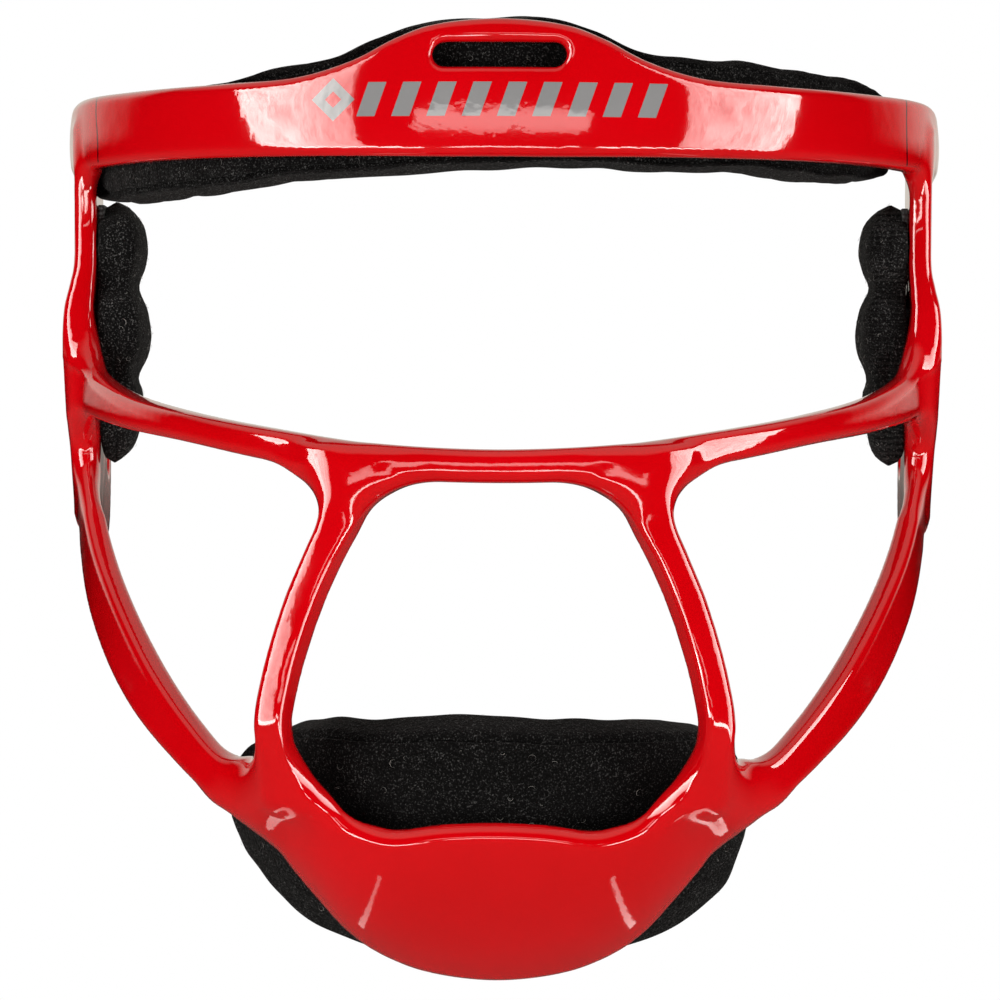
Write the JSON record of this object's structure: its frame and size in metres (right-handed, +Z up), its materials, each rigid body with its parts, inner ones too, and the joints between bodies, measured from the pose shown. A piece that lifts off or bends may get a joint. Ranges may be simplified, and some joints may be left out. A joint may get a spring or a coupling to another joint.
{
  "type": "fielder's face mask",
  "caption": "Open sports face mask: glossy cast frame with brow band, eye-level bar, nose and jaw bars and chin guard, lined with pull-off fabric pads at brow, temples and chin.",
  "frame": {"origin": "middle of the head opening, at eye level, where the wearer's face sits", "axes": "+Z up, +Y towards the wearer's head, +X to the right of someone who looks at the front of the mask"},
  "size_m": [0.178, 0.117, 0.1871],
  "materials": {
    "frame_paint": "gloss red powder coat over cast metal",
    "hook_tape": "black hook tape",
    "loop_backing": "black brushed loop cloth",
    "foam": "dark grey closed-cell foam",
    "pad_fabric": "black brushed knit, slightly fuzzy"
  },
  "bodies": {
    "mask_frame": {"frame": "frame_paint", "brow_hook_left": "hook_tape", "brow_hook_centre": "hook_tape", "brow_hook_right": "hook_tape", "left_side_hook_upper": "hook_tape", "left_side_hook_lower": "hook_tape", "right_side_hook_upper": "hook_tape", "right_side_hook_lower": "hook_tape", "chin_hook_left": "hook_tape", "chin_hook_centre": "hook_tape", "chin_hook_right": "hook_tape"},
    "forehead_pad": {"forehead_pad_backing": "loop_backing", "forehead_pad_foam": "foam", "forehead_pad_cover": "pad_fabric"},
    "left_side_pad": {"left_side_pad_backing": "loop_backing", "left_side_pad_foam": "foam", "left_side_pad_cover": "pad_fabric"},
    "right_side_pad": {"right_side_pad_backing": "loop_backing", "right_side_pad_foam": "foam", "right_side_pad_cover": "pad_fabric"},
    "chin_pad": {"chin_pad_backing": "loop_backing", "chin_pad_foam": "foam", "chin_pad_cover": "pad_fabric"}
  },
  "joints": [
    {"name": "forehead_pad_pull", "type": "slide", "parent": "mask_frame", "child": "forehead_pad", "axis": [0, 1, 0], "range_m": [0, 0.12]},
    {"name": "left_side_pad_pull", "type": "slide", "parent": "mask_frame", "child": "left_side_pad", "axis": [0.5, 0.866, 0], "range_m": [0, 0.1]},
    {"name": "right_side_pad_pull", "type": "slide", "parent": "mask_frame", "child": "right_side_pad", "axis": [-0.5, 0.866, 0], "range_m": [0, 0.1]},
    {"name": "chin_pad_pull", "type": "slide", "parent": "mask_frame", "child": "chin_pad", "axis": [0, 1, 0], "range_m": [0, 0.12]}
  ]
}
